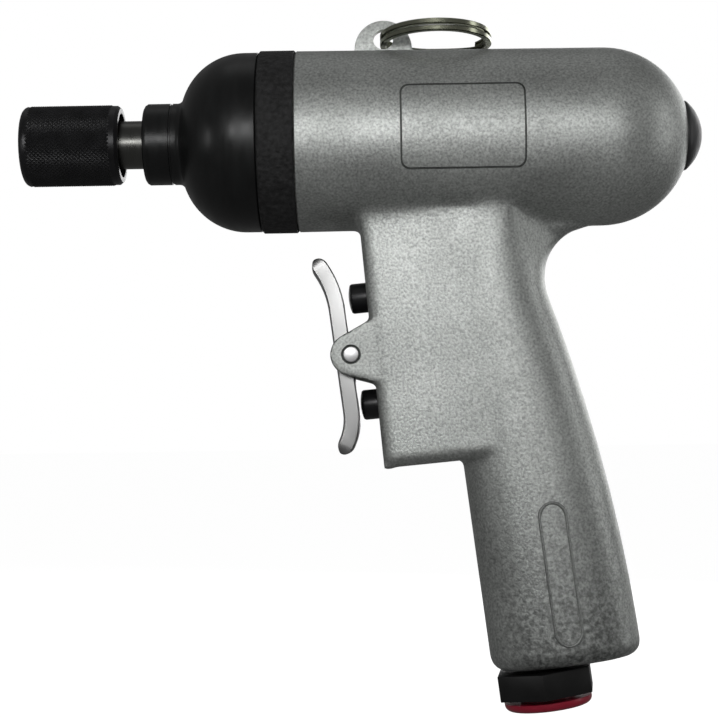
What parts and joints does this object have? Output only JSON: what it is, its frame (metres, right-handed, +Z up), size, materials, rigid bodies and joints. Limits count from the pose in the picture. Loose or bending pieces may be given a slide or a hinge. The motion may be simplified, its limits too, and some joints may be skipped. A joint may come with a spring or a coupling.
{
  "type": "pneumatic screwdriver",
  "caption": "Pistol-grip air screwdriver with a domed hammer case, knurled bit sleeve, rocking reverse trigger and hanging ring.",
  "frame": {"origin": "on the spindle axis, at the middle of the nose boss's clamping length", "axes": "-X along the spindle towards the bit, +X to the rear, +Z up through the hanging lug, +Y across the tool"},
  "size_m": [0.1822, 0.0506, 0.1852],
  "materials": {
    "cast_housing": "fine blasted casting, satin silver",
    "black_case": "smooth satin black",
    "rough_black": "rough matte black",
    "bronze": "sintered bronze",
    "gasket": "pressed fibre, matte",
    "plate_alloy": "ground face",
    "bearing_steel": "polished",
    "liner_steel": "honed and ground",
    "dark_steel": "hardened, dark",
    "spring_steel": "drawn wire",
    "pin_steel": "ground",
    "spindle_steel": "bare turned steel",
    "vane_resin": "laminated resin",
    "black_sleeve": "black oxide, diamond knurl",
    "rubber_black": "smooth black",
    "ring_nickel": "aged nickel plating",
    "polished_lever": "polished",
    "black_button": "smooth black",
    "valve_brass": "turned",
    "black_bushing": "black oxide steel",
    "silencer_bronze": "sintered, porous",
    "red_plug": "soft glossy red"
  },
  "bodies": {
    "tool_body": {"motor_housing": "cast_housing", "hammer_case": "black_case", "coupling_band": "rough_black", "anvil_bushing": "bronze", "thrust_washer": "dark_steel", "case_gasket": "gasket", "front_end_plate": "plate_alloy", "front_bearing_outer": "bearing_steel", "cylinder_liner": "liner_steel", "rear_end_plate": "plate_alloy", "rear_bearing_outer": "bearing_steel", "locating_pin": "pin_steel", "preload_washer": "dark_steel", "rear_plug": "rubber_black", "trigger_pin": "pin_steel", "valve_bushings": "valve_brass", "upper_valve_spring": "spring_steel", "lower_valve_spring": "spring_steel", "valve_caps": "valve_brass", "inlet_bushing": "black_bushing", "inlet_screen": "valve_brass", "exhaust_silencer": "silencer_bronze"},
    "rotor_train": {"rotor": "liner_steel", "rotor_vanes": "vane_resin", "front_bearing_inner": "bearing_steel", "rear_bearing_inner": "bearing_steel", "hammer_cage": "dark_steel", "hammer_pins": "pin_steel"},
    "upper_dog": {"upper_hammer_dog": "dark_steel"},
    "lower_dog": {"lower_hammer_dog": "dark_steel"},
    "front_balls": {"front_bearing_balls": "bearing_steel"},
    "rear_balls": {"rear_bearing_balls": "bearing_steel"},
    "anvil_body": {"anvil": "spindle_steel", "sleeve_spring": "spring_steel", "sleeve_washer": "dark_steel", "sleeve_clip": "spring_steel"},
    "sleeve": {"bit_sleeve": "black_sleeve"},
    "locking_ball": {"lock_ball": "bearing_steel"},
    "ring": {"split_ring": "ring_nickel"},
    "lever": {"trigger_lever": "polished_lever"},
    "upper_push": {"upper_button": "black_button", "upper_valve_stem": "valve_brass", "upper_stem_seal": "rubber_black"},
    "lower_push": {"lower_button": "black_button", "lower_valve_stem": "valve_brass", "lower_stem_seal": "rubber_black"},
    "plug": {"dust_plug": "red_plug"}
  },
  "joints": [
    {"name": "rotor_spin", "type": "hinge", "parent": "tool_body", "child": "rotor_train", "pos_m": [0.0747, 0, 0], "axis": [1, 0, 0], "continuous": true},
    {"name": "anvil_spin", "type": "hinge", "parent": "tool_body", "child": "anvil_body", "pos_m": [-0.0053, 0, 0], "axis": [1, 0, 0], "continuous": true},
    {"name": "front_ball_orbit", "type": "hinge", "parent": "tool_body", "child": "front_balls", "pos_m": [0.0493, 0, 0], "axis": [1, 0, 0], "continuous": true},
    {"name": "rear_ball_orbit", "type": "hinge", "parent": "tool_body", "child": "rear_balls", "pos_m": [0.1038, 0, 0], "axis": [1, 0, 0], "continuous": true},
    {"name": "upper_dog_swing", "type": "hinge", "parent": "rotor_train", "child": "upper_dog", "pos_m": [0.0257, 0, 0.0146], "axis": [1, 0, 0], "range_deg": [-2.5, 2.5]},
    {"name": "lower_dog_swing", "type": "hinge", "parent": "rotor_train", "child": "lower_dog", "pos_m": [0.0257, 0, -0.0146], "axis": [1, 0, 0], "range_deg": [-2.5, 2.5]},
    {"name": "sleeve_slide", "type": "slide", "parent": "anvil_body", "child": "sleeve", "axis": [-1, 0, 0], "range_m": [0, 0.0035], "stiffness_N_per_m": 1500, "springref_m": -0.002, "deforming": ["sleeve_spring"]},
    {"name": "ball_slide", "type": "slide", "parent": "anvil_body", "child": "locking_ball", "axis": [0, 0, 1], "range_m": [0, 0.00136]},
    {"name": "ring_swing", "type": "hinge", "parent": "tool_body", "child": "ring", "pos_m": [0.059, 0, 0.0271], "axis": [0, 1, 0], "range_deg": [-170, 0]},
    {"name": "trigger_rock", "type": "hinge", "parent": "tool_body", "child": "lever", "pos_m": [0.04935, 0, -0.05797], "axis": [0, 1, 0], "range_deg": [-7, 7], "stiffness_Nm_per_rad": 0.35},
    {"name": "upper_button_slide", "type": "slide", "parent": "tool_body", "child": "upper_push", "axis": [0.9962, 0, 0.0872], "range_m": [-0.00092, 0.00092], "deforming": ["upper_valve_spring"]},
    {"name": "lower_button_slide", "type": "slide", "parent": "tool_body", "child": "lower_push", "axis": [0.9962, 0, 0.0872], "range_m": [-0.00141, 0.00141], "deforming": ["lower_valve_spring"]},
    {"name": "dust_plug_pull", "type": "slide", "parent": "tool_body", "child": "plug", "axis": [0.1219, 0, -0.9925], "range_m": [0, 0.04]}
  ],
  "couplings": [
    {"joint": "anvil_spin", "follows": "rotor_spin", "ratio": 1},
    {"joint": "front_ball_orbit", "follows": "rotor_spin", "ratio": 0.40625},
    {"joint": "rear_ball_orbit", "follows": "rotor_spin", "ratio": 0.38},
    {"joint": "ball_slide", "follows": "sleeve_slide", "ratio": 0.38571},
    {"joint": "upper_button_slide", "follows": "trigger_rock", "m_per_rad": 0.0075},
    {"joint": "lower_button_slide", "follows": "trigger_rock", "m_per_rad": -0.0115}
  ]
}
